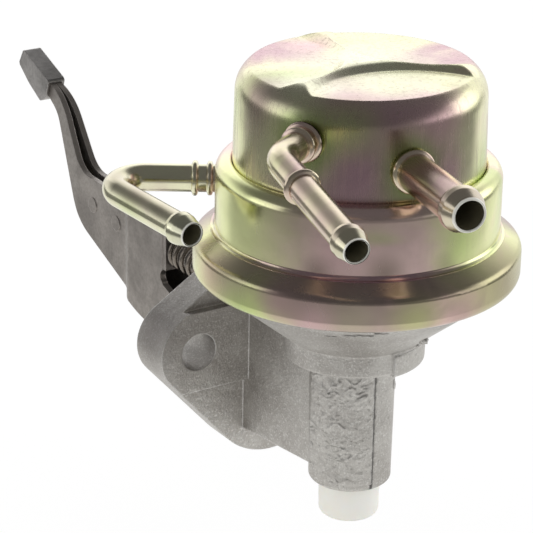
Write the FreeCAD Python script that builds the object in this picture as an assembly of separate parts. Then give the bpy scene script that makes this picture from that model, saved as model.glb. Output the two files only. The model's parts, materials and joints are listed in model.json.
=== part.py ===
import FreeCAD, Part
import math
import os

os.makedirs("parts", exist_ok=True)

# Mechanical fuel pump with a rocker arm, flange bolted to the side of an engine.
# Row frame: origin in the mounting face midway between the two bolts, X along the
# bolts, Y into the engine, Z up along the pump axis. Lengths in millimetres.
# Turned and pressed pieces are drawn about the pump axis with z = 0 at the underside
# of the crimp ring, and on_axis() puts them in the row frame.

# Where the pump stands behind and above the bolt holes
face_gap = 5.5
ring_z = 25.8

# General clearances
press_gap = 0.02
slip_gap = 0.05
running_gap = 0.08
free_gap = 0.3
fork_gap = 0.55
arm_gap = 0.9

# Flange and its bolts
bolt_x = 21.2
bolt_r = 4.4
lobe_r = 9.6
plate_t = 8.8
pad_t = 11.0
pad_half_height = 9.5
flange_top_r = 16.0
flange_top_z = 5.3
flange_foot_r = 16.2
flange_foot_z = -13.8

# Rocker chamber behind the flange
chamber_half = 8.0
chamber_wall = 2.4
chamber_foot_front = -23.2
chamber_foot_rear = -19.8
pocket_depth = 13.0

# Cast bowl, boss and stem, about the pump axis
clamp_width = 5.6
rim_t = 2.6
disc_inset = 3.0
disc_z = -1.5
boss_r = 15.2
boss_top = -13.0
boss_foot = -18.8
boss_step = 0.4
stem_top_r = 9.4
stem_r = 9.1
stem_foot = -48.8
bore_r = 7.2
bowl_inset = 2.3
bowl_floor = -10.0
stem_panel_heading = -143.0
well_r = 17.5
well_foot = -8.6
floor_r = 13.8
stem_panel_half = 7.2
stem_panel_rise = 0.45

# Pressed steel sheets
ring_t = 1.2
ring_gap = 0.2
ring_top = 10.2
ring_crease = 7.7
ring_lip = 3.1
ring_corner_r = 2.4
shell_t = 1.0
shell_r = 30.3
shell_top = 25.4
shoulder_r = 2.9
lip_corner_r = 0.6
lip_depth = 3.2
skirt_foot = 20.7
cover_t = 1.0
cover_inset = 3.6
cover_taper = 0.5
cover_top = 47.25
cover_edge_r = 7.0
recess_depth = 1.4
recess_r = 21.5
recess_headings = (-100.0, 20.0, 140.0)

# Diaphragm stack inside the crimp
diaphragm_t = 0.8
plate_sheet_t = 0.8
gasket_t = 0.5
rest_lift = 1.6
backing_inset = 8.5
backing_t = 1.0

# Valve plate and its valves
hat_r = 11.5
hat_top = 17.0
valve_flat = 10.8
cup_t = 0.8
cup_top = 42.0
post_r = 1.5
inlet_disc_r = 6.6
outlet_disc_r = 5.2
outlet_valve_heading = 80.0
disc_t = 1.0
valve_lift = 1.6

# Pull rod, its seal and its lower guide
rod_r = 2.4
seal_r = 7.9
seal_t = 3.2
retainer_r = 13.0
retainer_t = 0.8
pump_spring_r = 9.6
pump_wire = 1.8
rod_head_r = 4.8
rod_head_t = 2.2
plug_r = 6.8
plug_foot = -57.5
plug_top = -46.3

# Rocker arm, link and pin
pin_y = -4.2
pin_z = -12.2
pin_r = 3.0
pin_half = 13.0
arm_t = 1.5
arm_half_inner = 4.6
arm_half_outer = 2.5
nose_slit = 0.2
pad_half = 2.4
hub_r = 6.5
hub_tail = 9.5
link_half = 2.75
link_hub_r = 4.9
fork_half = 5.5
fork_t = 3.4
return_spring_z = 5.6
return_spring_r = 4.0
return_wire = 1.4
tab_y = 33.5
arm_top_z = 10.8
joggle_back = 29.2
joggle_length = 3.5
mark_r = 2.0
mark_depth = 0.2

# Bends of the arm, each a distance from the mounting face and a height above the bolts
belly_y = 45.0
belly_z = -15.5
knee_y = 80.2
knee_z = -1.9
elbow_back = 2.2
elbow_z = 11.4
neck_reach = 10.8
neck_z = 23.0
nape_reach = 8.0
nape_z = 27.4
throat_reach = 5.2
throat_z = 26.1
nose_reach = 11.0
nose_z = 31.0
tip_z = 34.2

# Hose pipes
inlet_od = 8.0
inlet_wall = 0.8
inlet_heading = -101.5
inlet_z = 31.8
inlet_stand = 26.4
small_od = 6.0
small_wall = 0.65
outlet_root_heading = -149.5
outlet_z = 37.4
outlet_stand = 11.9
outlet_bend = 9.0
outlet_slope = -6.5
outlet_leg = 40.0
outlet_bead_at = 12.8
return_heading = 147.0
return_offset = 7.8
return_z = 17.6
return_stand = 27.1
return_bend = 6.2
return_leg = 38.7
return_leg_heading = -86.0
return_slope = -1.5

# Radii that follow from the shell's
bowl_r = shell_r - bowl_inset
rim_r = bowl_r + clamp_width
disc_r = rim_r - disc_inset
ring_r = rim_r + ring_gap + ring_t
ring_lip_r = ring_r - ring_lip
shell_flange_r = rim_r - 2 * ring_gap
cover_r = shell_r - cover_inset
backing_r = bowl_r - backing_inset
outlet_valve_r = (hat_r + bowl_r - plate_sheet_t / 2) / 2
axis_y = -ring_r - face_gap

# Heights that follow from the stack
rim_foot = ring_t + slip_gap
rim_top = rim_foot + rim_t
plate_foot = rim_top + diaphragm_t
gasket_foot = plate_foot + plate_sheet_t
shell_foot = gasket_foot + gasket_t
diaphragm_z = rim_top + rest_lift
lower_backing_foot = diaphragm_z - backing_t
upper_backing_top = diaphragm_z + diaphragm_t + backing_t

# Bends of the arm that follow from its knee
joggle_y = knee_y - joggle_back
elbow_y = knee_y - elbow_back
neck_y = knee_y + neck_reach
nape_y = knee_y + nape_reach
throat_y = neck_y + throat_reach
nose_y = throat_y + nose_reach
nose_half = arm_t + nose_slit / 2


def vec(x, y, z):
    return FreeCAD.Vector(x, y, z)


def polar(radius, heading, z=0.0):
    angle = math.radians(heading)
    return vec(radius * math.cos(angle), radius * math.sin(angle), z)


def on_axis(shape):
    shape.translate(vec(0, axis_y, ring_z))
    return shape


def along(shape, origin, direction):
    """Turns a shape drawn up the Z axis so that it starts at origin and runs along direction."""
    shape.Placement = FreeCAD.Placement(origin, FreeCAD.Rotation(vec(0, 0, 1), direction))
    return shape


def fuse_all(shapes):
    return shapes[0].multiFuse(shapes[1:]).removeSplitter()


def save(shape, name):
    shape.exportStep("parts/" + name + ".step")


def rounded_edges(points, closed=True):
    """Joins 2-D points (u, v) or (u, v, corner radius) into edges in the XZ plane."""
    corners = [(vec(p[0], 0, p[1]), p[2] if len(p) > 2 else 0.0) for p in points]
    count = len(corners)
    entry, arcs, leave = [], [], []
    for i, (corner, radius) in enumerate(corners):
        inner = closed or 0 < i < count - 1
        if radius <= 0 or not inner:
            entry.append(corner)
            leave.append(corner)
            arcs.append(None)
            continue
        back = (corners[i - 1][0] - corner).normalize()
        ahead = (corners[(i + 1) % count][0] - corner).normalize()
        half = back.getAngle(ahead) / 2
        start = corner + back * (radius / math.tan(half))
        end = corner + ahead * (radius / math.tan(half))
        middle = corner + (back + ahead).normalize() * (radius / math.sin(half) - radius)
        entry.append(start)
        leave.append(end)
        arcs.append(Part.Arc(start, middle, end).toShape())
    edges = []
    for i in range(count):
        if arcs[i]:
            edges.append(arcs[i])
        after = (i + 1) % count
        if (closed or after > 0) and leave[i].distanceToPoint(entry[after]) > 1e-6:
            edges.append(Part.makeLine(leave[i], entry[after]))
    return edges


def outline_face(points):
    return Part.Face(Part.Wire(rounded_edges(points)))


def turned(points):
    """Solid of revolution about Z from a closed profile of (radius, z, corner radius)."""
    return outline_face(points).revolve(vec(0, 0, 0), vec(0, 0, 1), 360)


def disc(radius, foot, top):
    return Part.makeCylinder(radius, top - foot, vec(0, 0, foot))


def side_plate(points, x_from, x_to):
    """Extrudes a (y, z, corner radius) outline along X."""
    face = outline_face(points)
    face.rotate(vec(0, 0, 0), vec(0, 0, 1), 90)
    face.translate(vec(x_from, 0, 0))
    return face.extrude(vec(x_to - x_from, 0, 0))


def sheet_outline(path, thickness):
    """Closed outline of a sheet on the left of an open path, or on its right when negative."""
    normals = []
    for start, end in zip(path, path[1:]):
        du, dv = end[0] - start[0], end[1] - start[1]
        length = math.hypot(du, dv)
        normals.append((-dv / length, du / length))
    far_side = []
    for i, point in enumerate(path):
        before = normals[max(i - 1, 0)]
        after = normals[min(i, len(normals) - 1)]
        scale = thickness / (1 + before[0] * after[0] + before[1] * after[1])
        turn = before[0] * after[1] - before[1] * after[0]
        radius = point[2] if len(point) > 2 else 0.0
        if radius > 0:
            radius -= thickness * math.copysign(1, turn)
        far_side.append((point[0] + (before[0] + after[0]) * scale,
                         point[1] + (before[1] + after[1]) * scale, radius))
    return list(path) + far_side[::-1]


def pressed(path, thickness):
    return turned(sheet_outline(path, thickness))


def coil_spring(mean_r, wire, length, turns):
    """Compression spring along Z from 0 to length with closed end coils."""
    height = length - wire
    closed_turns = 1.0
    open_pitch = (height - 2 * closed_turns * wire) / (turns - 2 * closed_turns)
    steps_per_turn = 12
    points = []
    for step in range(int(turns * steps_per_turn) + 1):
        turn = step / steps_per_turn
        low = min(turn, closed_turns) * wire
        middle = min(max(turn - closed_turns, 0), turns - 2 * closed_turns) * open_pitch
        high = max(turn - turns + closed_turns, 0) * wire
        points.append(polar(mean_r, 360 * turn, wire / 2 + low + middle + high))
    curve = Part.BSplineCurve()
    curve.interpolate(points)
    path = Part.Wire(curve.toShape())
    section = Part.Wire(Part.makeCircle(wire / 2, points[0], curve.tangent(0)[0]))
    return Part.Wire(path).makePipeShell([section], True, True)


# Cast lower body

def flange_outline():
    """Rounded rhombus around the two bolt holes, as edges in the XZ plane."""
    left, right = vec(-bolt_x, 0, 0), vec(bolt_x, 0, 0)
    rounds = [(right, lobe_r), (vec(0, 0, flange_top_z), flange_top_r), (left, lobe_r),
              (vec(0, 0, flange_foot_z), flange_foot_r)]
    headings = []
    for (centre, radius), (after, after_radius) in zip(rounds, rounds[1:] + rounds[:1]):
        span = after - centre
        lean = math.acos((radius - after_radius) / span.Length)
        headings.append(math.atan2(span.z, span.x) - lean)
    edges = []
    for i, (centre, radius) in enumerate(rounds):
        first = headings[i - 1]
        last = headings[i]
        while last < first:
            last += 2 * math.pi
        spots = [centre + vec(math.cos(a), 0, math.sin(a)) * radius
                 for a in (first, (first + last) / 2, last)]
        following, following_r = rounds[(i + 1) % 4]
        edges.append(Part.Arc(*spots).toShape())
        edges.append(Part.makeLine(spots[2], following + vec(math.cos(last), 0, math.sin(last)) * following_r))
    return Part.Wire(edges)


def flange():
    face = Part.Face(flange_outline())
    plate = face.extrude(vec(0, -plate_t, 0))
    pad_band = Part.makeBox(4 * bolt_x, pad_t, 2 * pad_half_height, vec(-2 * bolt_x, -pad_t, -pad_half_height))
    pad = face.extrude(vec(0, -pad_t, 0)).common(pad_band)
    return plate.fuse(pad)


def bowl_boss_and_stem():
    body = turned([
        (0, rim_top), (rim_r, rim_top), (rim_r, rim_foot, ring_corner_r - ring_t + slip_gap),
        (ring_lip_r - free_gap, rim_foot),
        (disc_r, disc_z + 1.6, 0.8), (disc_r - 0.4, disc_z, 0.8), (boss_r + 1.2, boss_top + 0.3, 1.5),
        (boss_r, boss_top - 0.6, 0.8), (boss_r - 0.15, boss_foot, 0.7), (stem_top_r, boss_foot, 0.8),
        (stem_r, stem_foot, 1.0), (0, stem_foot)])
    step_r = boss_r + boss_step
    step = turned([(0, boss_top - 1.2), (step_r, boss_top - 1.2, 0.5), (step_r - 0.15, boss_foot - boss_step, 0.5),
                   (0, boss_foot - boss_step)])
    step = step.common(Part.makeBox(step_r, 2 * step_r, 20.0, vec(0, -2 * step_r, boss_foot - boss_step)))
    panel = Part.makeBox(stem_r + stem_panel_rise, 2 * stem_panel_half, boss_foot - stem_foot - 2.0,
                         vec(0, -stem_panel_half, stem_foot + 2.0))
    panel.rotate(vec(0, 0, 0), vec(0, 0, 1), stem_panel_heading)
    panel = panel.common(disc(stem_top_r + stem_panel_rise, stem_foot, boss_foot))
    return on_axis(body.fuse([step, panel]))


def chamber_block():
    return side_plate([
        (-plate_t / 2, chamber_foot_front), (-plate_t / 2, ring_z + disc_z - 4.0),
        (-pad_t - 2.0, ring_z + disc_z + 0.8), (axis_y + boss_r, ring_z + boss_top + 2.0),
        (axis_y + 4.0, ring_z + boss_top + 2.0), (axis_y + 4.0, chamber_foot_rear)],
        -chamber_half, chamber_half)


def chamber_room():
    """Pocket for arm and return spring, and the tunnel that takes the link to the stem."""
    half = chamber_half - chamber_wall
    floor = pin_z - hub_r - arm_gap
    pocket = side_plate([
        (1.0, floor), (1.0, return_spring_z + 6.0), (-pocket_depth, return_spring_z + 6.0, 1.5),
        (-pocket_depth, floor + 0.5)], -half, half)
    tunnel = side_plate([
        (-pocket_depth + 1.0, floor), (-pocket_depth + 1.0, pin_z + 8.5),
        (axis_y, pin_z + 8.5), (axis_y, floor + 1.8)], -half, half)
    seat = Part.makeCylinder(return_spring_r + return_wire, 1.5,
                             vec(0, -pocket_depth + 0.01, return_spring_z), vec(0, -1, 0))
    return pocket.fuse([tunnel, seat])


def pin_slot():
    """Cross slot open to the mounting face, with its mouth staked over the pin near both ends."""
    reach = pin_half + slip_gap
    channel_r = pin_r + slip_gap
    bore = Part.makeCylinder(channel_r, 2 * reach, vec(-reach, pin_y, pin_z), vec(1, 0, 0))
    mouth = Part.makeBox(2 * reach, 1 - pin_y, 2 * channel_r, vec(-reach, pin_y, pin_z - channel_r))
    slot = bore.fuse(mouth)
    lip_depth = -pin_y - pin_r - slip_gap
    for side in (-1, 1):
        for edge in (-1, 1):
            lip = Part.makeBox(3.0, lip_depth, 0.7, vec(side * 10.0 - 1.5, -lip_depth, pin_z - 0.35))
            lip.translate(vec(0, 0, edge * (channel_r - 0.35)))
            slot = slot.cut(lip)
    return slot


def lower_body():
    cast = fuse_all([bowl_boss_and_stem(), flange(), chamber_block()])
    bowl = turned([
        (0, rim_top + 1), (bowl_r, rim_top + 1), (bowl_r - 0.8, -0.5, 3.0), (well_r, well_foot, 3.0),
        (floor_r, bowl_floor, 1.5), (0, bowl_floor)])
    seal_seat = disc(seal_r + press_gap, bowl_floor - seal_t - 1.0, bowl_floor + 1)
    rod_way = disc(rod_r + 0.6, stem_foot, bowl_floor)
    stem_bore = turned([(0, stem_foot - 1), (bore_r, stem_foot - 1), (bore_r, boss_foot - 3.0, 1.5),
                        (0, boss_foot - 3.0)])
    cast = cast.cut(on_axis(fuse_all([bowl, seal_seat, rod_way, stem_bore])))
    cast = cast.cut(chamber_room())
    for side in (-1, 1):
        cast = cast.cut(Part.makeCylinder(bolt_r, pad_t + 2, vec(side * bolt_x, 1, 0), vec(0, -1, 0)))
    return cast.cut(pin_slot())


def stem_plug():
    blind = plug_foot + 2.2
    return on_axis(turned([
        (bore_r - press_gap, plug_top, 0.4), (bore_r - press_gap, stem_foot), (plug_r, stem_foot - 0.01),
        (plug_r - 0.15, plug_foot, 1.3), (0, plug_foot), (0, blind),
        (rod_r + running_gap, blind), (rod_r + running_gap, plug_top, 0.4)]))


# Crimped steel top

def crimp_ring():
    return on_axis(pressed([
        (ring_lip_r, 0), (ring_r, 0, ring_corner_r), (ring_r, ring_crease, 1.9), (shell_r + 0.7, ring_top)], ring_t))


def shell_hole(root, direction, radius):
    return Part.makeCylinder(radius, 14.0, root - direction * 7.0, direction)


def upper_shell():
    top = shell_foot + shell_t
    lip_r = cover_r + slip_gap
    shell = pressed([
        (shell_flange_r, top), (shell_r, top, 1.6), (shell_r, shell_top, shoulder_r),
        (lip_r, shell_top, lip_corner_r), (lip_r, shell_top - lip_depth)], shell_t)
    start, direction = return_root()
    return on_axis(shell.cut(shell_hole(start, direction, small_od / 2 + slip_gap)))


def recess_cutter(heading, inset):
    """Turned cutter for one lens-shaped recess, with a soft slope at its edge."""
    floor = cover_top - recess_depth - inset
    edge = recess_r + 0.35 * inset
    cutter = turned([
        (0, floor), (edge, floor, 1.2), (edge + 1.9, floor + recess_depth - 0.2, 1.6),
        (edge + 6.0, floor + recess_depth + 0.5), (edge + 6.0, floor + 6.0), (0, floor + 6.0)])
    cutter.translate(polar(cover_r, heading))
    return cutter


def cover_form(inset):
    """The domed cover as a full body, or its hollow when inset by the sheet's thickness."""
    foot = skirt_foot
    dome = turned([
        (0, foot - inset), (cover_r - inset, foot - inset), (cover_r - inset, shell_top),
        (cover_r - cover_taper - inset, cover_top - inset, cover_edge_r - inset), (0, cover_top - inset)])
    for heading in recess_headings:
        dome = dome.cut(recess_cutter(heading, inset))
    return dome


def top_cover():
    foot = skirt_foot
    skirt = turned([(cover_r - cover_t, foot), (shell_r - shell_t - free_gap, foot),
                    (shell_r - shell_t - free_gap, foot + cover_t), (cover_r - cover_t, foot + cover_t)])
    cover = cover_form(0).cut(cover_form(cover_t)).fuse(skirt)
    inlet_way = polar(1, inlet_heading)
    outlet_way = polar(1, outlet_root_heading)
    cover = cover.cut(shell_hole(polar(cover_r, inlet_heading, inlet_z), inlet_way, inlet_od / 2 + slip_gap))
    return on_axis(cover.cut(shell_hole(polar(cover_r, outlet_root_heading, outlet_z), outlet_way,
                                        small_od / 2 + slip_gap)))


# Hose pipes

def pipe_path(points, bend):
    """Wire along straight legs with one bend radius at every inner point."""
    edges = []
    start = points[0]
    for i in range(1, len(points) - 1):
        corner = points[i]
        back = (points[i - 1] - corner).normalize()
        ahead = (points[i + 1] - corner).normalize()
        half = back.getAngle(ahead) / 2
        enter = corner + back * (bend / math.tan(half))
        leave = corner + ahead * (bend / math.tan(half))
        middle = corner + (back + ahead).normalize() * (bend / math.sin(half) - bend)
        edges += [Part.makeLine(start, enter), Part.Arc(enter, middle, leave).toShape()]
        start = leave
    edges.append(Part.makeLine(start, points[-1]))
    return Part.Wire(edges)


def swept(path, radius):
    start = path.Edges[0].valueAt(path.Edges[0].FirstParameter)
    direction = path.Edges[0].tangentAt(path.Edges[0].FirstParameter)
    section = Part.Wire(Part.makeCircle(radius, start, direction))
    return path.makePipeShell([section], True, False)


def bead(radius, rise, half_width):
    """Upset ring around a pipe, centred on z = 0."""
    return turned([
        (radius - 0.3, -half_width), (radius, -half_width), (radius + rise, -half_width * 0.6, rise * 0.6),
        (radius + rise, half_width * 0.6, rise * 0.6), (radius, half_width), (radius - 0.3, half_width)])


def hose_end(radius, wall):
    """Swollen end that keeps a hose on, with its mouth at z = 0 and the pipe below."""
    swell = radius * 1.19
    return turned([
        (radius - wall, -6.2), (radius, -6.2), (radius, -5.6, 0.8), (swell, -4.6, 0.7),
        (swell - 0.15, -3.0, 1.2), (radius * 0.86, 0, 0.25), (radius * 0.75, 0, 0.25), (radius - wall, -1.2)])


def hose_pipe(points, bend, od, wall, beads):
    """Bent tube with a swollen end and upset beads given as (leg, distance, rise, half width)."""
    path = pipe_path(points, bend)
    radius = od / 2
    last = (points[-1] - points[-2]).normalize()
    trim = along(disc(radius + 3, -5.9, 1), points[-1], last)
    tube = swept(path, radius).cut(trim)
    tube = fuse_all([tube, along(hose_end(radius, wall), points[-1], last)])
    for leg, distance, rise, half_width in beads:
        direction = (points[leg + 1] - points[leg]).normalize()
        tube = tube.fuse(along(bead(radius, rise, half_width), points[leg] + direction * distance, direction))
    tube = tube.cut(swept(path, radius - wall).cut(along(disc(radius + 3, -1.2, 1), points[-1], last)))
    return tube


def inlet_pipe():
    inner = hat_r + cup_t - 0.4
    points = [polar(inner, inlet_heading, inlet_z), polar(cover_r + inlet_stand, inlet_heading, inlet_z)]
    root = cover_r + slip_gap + 0.6 - inner
    return on_axis(hose_pipe(points, 1.0, inlet_od, inlet_wall, [(0, root, 0.7, 0.6)]))


def outlet_pipe():
    inner = cover_r - cover_t - 1.2
    slope = math.radians(outlet_slope)
    corner = polar(cover_r + outlet_stand, outlet_root_heading, outlet_z)
    leg = polar(math.cos(slope), inlet_heading, math.sin(slope)) * outlet_leg
    points = [polar(inner, outlet_root_heading, outlet_z), corner, corner + leg]
    root = cover_r + slip_gap + 0.8 - inner
    return on_axis(hose_pipe(points, outlet_bend, small_od, small_wall,
                             [(0, root, 1.3, 0.8), (0, root + 2.2, 0.8, 0.7), (1, outlet_bead_at, 0.8, 0.65)]))


def return_root():
    """Point where the return pipe meets the shell, and the way that it leaves."""
    way = polar(1, return_heading)
    side = polar(1, return_heading - 90)
    reach = math.sqrt(shell_r ** 2 - return_offset ** 2)
    return way * reach + side * return_offset + vec(0, 0, return_z), way


def return_pipe():
    root, way = return_root()
    side = polar(1, return_heading - 90)
    corner = way * (shell_r + return_stand) + side * return_offset + vec(0, 0, return_z)
    slope = math.radians(return_slope)
    leg = polar(math.cos(slope), return_leg_heading, math.sin(slope)) * return_leg
    start = root - way * 3.2
    return on_axis(hose_pipe([start, corner, corner + leg], return_bend, small_od, small_wall,
                             [(0, 5.4, 0.7, 0.7), (0, 8.6, 0.8, 0.75)]))


# Valve plate with its inlet cup and valves

def ports(centre, ring_radius, radius, count):
    holes = [disc(radius, 0, 30) for _ in range(count)]
    for i, hole in enumerate(holes):
        hole.translate(centre + polar(ring_radius, i * 360 / count))
    return holes


def outlet_centre():
    return polar(outlet_valve_r, outlet_valve_heading)


def valve_plate():
    foot = valve_flat - plate_sheet_t
    plate = pressed([
        (rim_r - 0.3, plate_foot), (bowl_r + 0.4, plate_foot, 1.3), (bowl_r - 0.6, foot, 1.6),
        (hat_r - plate_sheet_t, foot, 1.3), (hat_r - plate_sheet_t, hat_top - plate_sheet_t, 1.0),
        (post_r + press_gap, hat_top - plate_sheet_t)], -plate_sheet_t)
    plate = plate.cut(ports(vec(0, 0, 0), 4.1, 1.3, 6))
    plate = plate.cut(ports(outlet_centre(), 3.2, 1.0, 6))
    return on_axis(plate.cut(Part.makeCylinder(post_r + press_gap, 30, outlet_centre())))


def inlet_cup():
    inner = hat_r + slip_gap
    cup = pressed([(inner + cup_t, valve_flat + 0.6), (inner + cup_t, cup_top, 2.6), (0, cup_top)], cup_t)
    way = polar(1, inlet_heading)
    return on_axis(cup.cut(Part.makeCylinder(inlet_od / 2 + slip_gap, 20, vec(0, 0, inlet_z), way)))


def valve_post(reach):
    """Headed post riveted through a plate of plate_sheet_t at z = 0, with its head at -reach."""
    return turned([
        (0, -reach - 0.8), (3.4, -reach - 0.8, 0.3), (3.4, -reach), (post_r, -reach), (post_r, 0),
        (post_r, plate_sheet_t), (2.4, plate_sheet_t), (2.0, plate_sheet_t + 0.8, 0.4), (0, plate_sheet_t + 0.8)])


def valve_disc(radius):
    return turned([
        (post_r + running_gap, -disc_t), (radius, -disc_t, 0.2), (radius, 0, 0.2), (post_r + running_gap, 0)])


post_reach = disc_t + 4.0


def hung_below_hat(shape):
    shape.translate(vec(0, 0, hat_top - plate_sheet_t))
    return on_axis(shape)


def stood_on_flat(shape):
    shape.rotate(vec(0, 0, 0), vec(1, 0, 0), 180)
    shape.translate(outlet_centre() + vec(0, 0, valve_flat))
    return on_axis(shape)


def valve_spring():
    spring = coil_spring(2.5, 0.4, post_reach - disc_t, 6)
    spring.translate(vec(0, 0, -post_reach))
    return spring


def cover_gasket():
    return on_axis(disc(shell_flange_r, gasket_foot, shell_foot).cut(
        disc(shell_r - shell_t + 0.4, gasket_foot, shell_foot)))


# Diaphragm, pull rod and spring

def diaphragm():
    return on_axis(pressed([
        (rod_r + press_gap, diaphragm_z), (backing_r + 1.6, diaphragm_z, 1.0), (backing_r + 3.2, rim_top - 2.4, 0.9),
        (bowl_r - 2.9, rim_top - 2.4, 0.9), (bowl_r - 1.4, rim_top, 1.0), (rim_r - ring_gap, rim_top)], diaphragm_t))


def upper_backing():
    foot = diaphragm_z + diaphragm_t
    return on_axis(pressed([
        (rod_r + press_gap, foot), (backing_r - 1.2, foot, 1.4), (backing_r, foot + 1.4)], backing_t))


def lower_backing():
    return on_axis(pressed([
        (rod_r + press_gap, diaphragm_z), (backing_r - 1.2, diaphragm_z, 1.4),
        (backing_r, diaphragm_z - 1.4)], -backing_t))


def fork_z():
    return pin_z - ring_z


def pull_rod():
    head_top = fork_z() - fork_t / 2 - fork_gap
    tail = plug_foot + 2.2 + 1.6 + 3.4
    return on_axis(turned([
        (0, tail), (rod_r, tail, 0.8), (rod_r, head_top - rod_head_t), (rod_head_r, head_top - rod_head_t, 0.4),
        (rod_head_r, head_top, 0.3), (rod_r, head_top), (rod_r, lower_backing_foot - 1.6),
        (4.2, lower_backing_foot - 1.6, 0.3), (4.2, lower_backing_foot), (rod_r, lower_backing_foot),
        (rod_r, upper_backing_top), (4.4, upper_backing_top), (3.6, upper_backing_top + 1.1, 0.6),
        (0, upper_backing_top + 1.1)]))


def rod_seal():
    foot = bowl_floor - seal_t
    return on_axis(turned([
        (rod_r + running_gap, foot + 0.6), (rod_r + 1.6, foot, 0.3), (seal_r, foot, 0.4), (seal_r, bowl_floor, 0.3),
        (rod_r + 2.6, bowl_floor), (rod_r + 2.0, foot + 2.0, 0.5), (rod_r + 0.6, bowl_floor - 0.4, 0.2),
        (rod_r + running_gap, bowl_floor - 1.2)]))


def seal_retainer():
    return on_axis(turned([
        (rod_r + 1.4, bowl_floor), (retainer_r, bowl_floor), (retainer_r, bowl_floor + retainer_t, 0.3),
        (rod_r + 1.4, bowl_floor + retainer_t)]))


def diaphragm_spring():
    foot = bowl_floor + retainer_t
    spring = coil_spring(pump_spring_r, pump_wire, lower_backing_foot - foot, 5.5)
    spring.translate(vec(0, 0, foot))
    return on_axis(spring)


# Rocker arm and link

def lower_edge():
    """Lower edge of the arm from its belly out to the nose, as (y, z, corner radius)."""
    return [(belly_y, belly_z, 40.0), (knee_y, knee_z, 14.0), (neck_y, neck_z, 7.0), (throat_y, throat_z, 3.0),
            (nose_y, nose_z)]


def arm_side_outline():
    hub_top = pin_z + hub_r
    tail_y = pin_y - hub_tail
    return lower_edge() + [
        (nose_y, tip_z, 1.0), (nape_y, nape_z, 15.0), (elbow_y, elbow_z, 8.0), (tab_y, arm_top_z, 1.2),
        (tab_y, return_spring_z - 8.6, 0.5), (tab_y - 5.5, hub_top + 0.8, 4.0), (pin_y, hub_top),
        (tail_y, hub_top, 2.0), (tail_y, pin_z - 2.0, 2.0), (pin_y - 4.0, pin_z - hub_r, 4.0),
        (pin_y + 4.0, pin_z - hub_r)]


def seen_from_above(points):
    """Stands a plan outline of (y, x, corner radius) up as a block taller than the arm."""
    face = outline_face(points)
    face.rotate(vec(0, 0, 0), vec(1, 0, 0), -90)
    face.rotate(vec(0, 0, 0), vec(0, 0, 1), 90)
    face.translate(vec(0, 0, -2 * tip_z))
    return face.extrude(vec(0, 0, 4 * tip_z))


def cheek_plan(side):
    """Outer edge of a cheek seen from above: wide at the hub, joggled in, then closed up at the nose."""
    return [(pin_y - hub_tail - 2.0, side * arm_half_inner), (joggle_y, side * arm_half_inner, 4.0),
            (joggle_y + joggle_length, side * arm_half_outer, 4.0), (elbow_y + 2.0, side * arm_half_outer, 14.0),
            (throat_y - 2.4, side * nose_half, 8.0), (nose_y + 5.0, side * nose_half)]


def shear_marks():
    """Shallow round marks that the press leaves on the outer cheek."""
    return [Part.makeCylinder(mark_r, mark_depth, vec(-arm_half_outer - mark_depth, y, z), vec(1, 0, 0))
            for y, z in ((knee_y - 8.4, 4.5), (knee_y - 20.4, 3.5))]


def rocker_arm():
    side = side_plate(arm_side_outline(), -arm_half_inner, arm_half_inner)
    cheeks = [seen_from_above(sheet_outline(cheek_plan(s), -s * arm_t)).common(side) for s in (-1, 1)]
    web = side_plate(sheet_outline([(pin_y + 6.0, pin_z - hub_r)] + lower_edge(), arm_t), -arm_half_inner, arm_half_inner)
    web = web.common(seen_from_above(cheek_plan(-1) + cheek_plan(1)[::-1])).common(side)
    inside = arm_half_inner - 0.1
    tab = Part.makeBox(2 * inside, arm_t, arm_top_z - 0.9, vec(-inside, tab_y - arm_t, 0.9))
    nib = Part.makeCylinder(return_spring_r - return_wire / 2 - 0.2, 2.2,
                            vec(0, tab_y - arm_t + 0.1, return_spring_z), vec(0, -1, 0))
    bridge = Part.makeBox(2 * inside, 4.0, arm_t, vec(-inside, pin_y - hub_tail, pin_z + 3.0 + free_gap))
    arm = fuse_all(cheeks + [web, tab, nib, bridge] + shear_marks())
    notch = Part.makeCylinder(1.8, 4 * arm_half_inner, vec(-2 * arm_half_inner, tab_y - 0.8, -1.0), vec(1, 0, 0))
    return arm.cut([notch, Part.makeCylinder(pin_r + running_gap, 40, vec(-20, pin_y, pin_z), vec(1, 0, 0))])


def cam_pad():
    """Hardened shoe, blind slotted for the arm's closed nose."""
    shoe = side_plate([
        (nose_y + 4.0, nose_z + 0.3, 0.8), (nose_y + 1.3, tip_z + 1.4, 0.8), (throat_y - 1.4, throat_z + 4.6, 0.8),
        (throat_y + 0.4, throat_z - 0.5, 1.0), (throat_y + 3.4, throat_z - 2.0, 1.5),
        (nose_y - 1.2, nose_z - 3.6, 16.0)], -pad_half, pad_half)
    slot_half = nose_half + slip_gap
    nose = side_plate([
        (nose_y + slip_gap, nose_z), (nose_y + slip_gap, tip_z + slip_gap + 0.02),
        (nape_y, nape_z + slip_gap), (elbow_y, elbow_z), (neck_y, neck_z - slip_gap, 7.0),
        (throat_y + slip_gap, throat_z - slip_gap, 3.0)], -slot_half, slot_half)
    return shoe.cut(nose)


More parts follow.
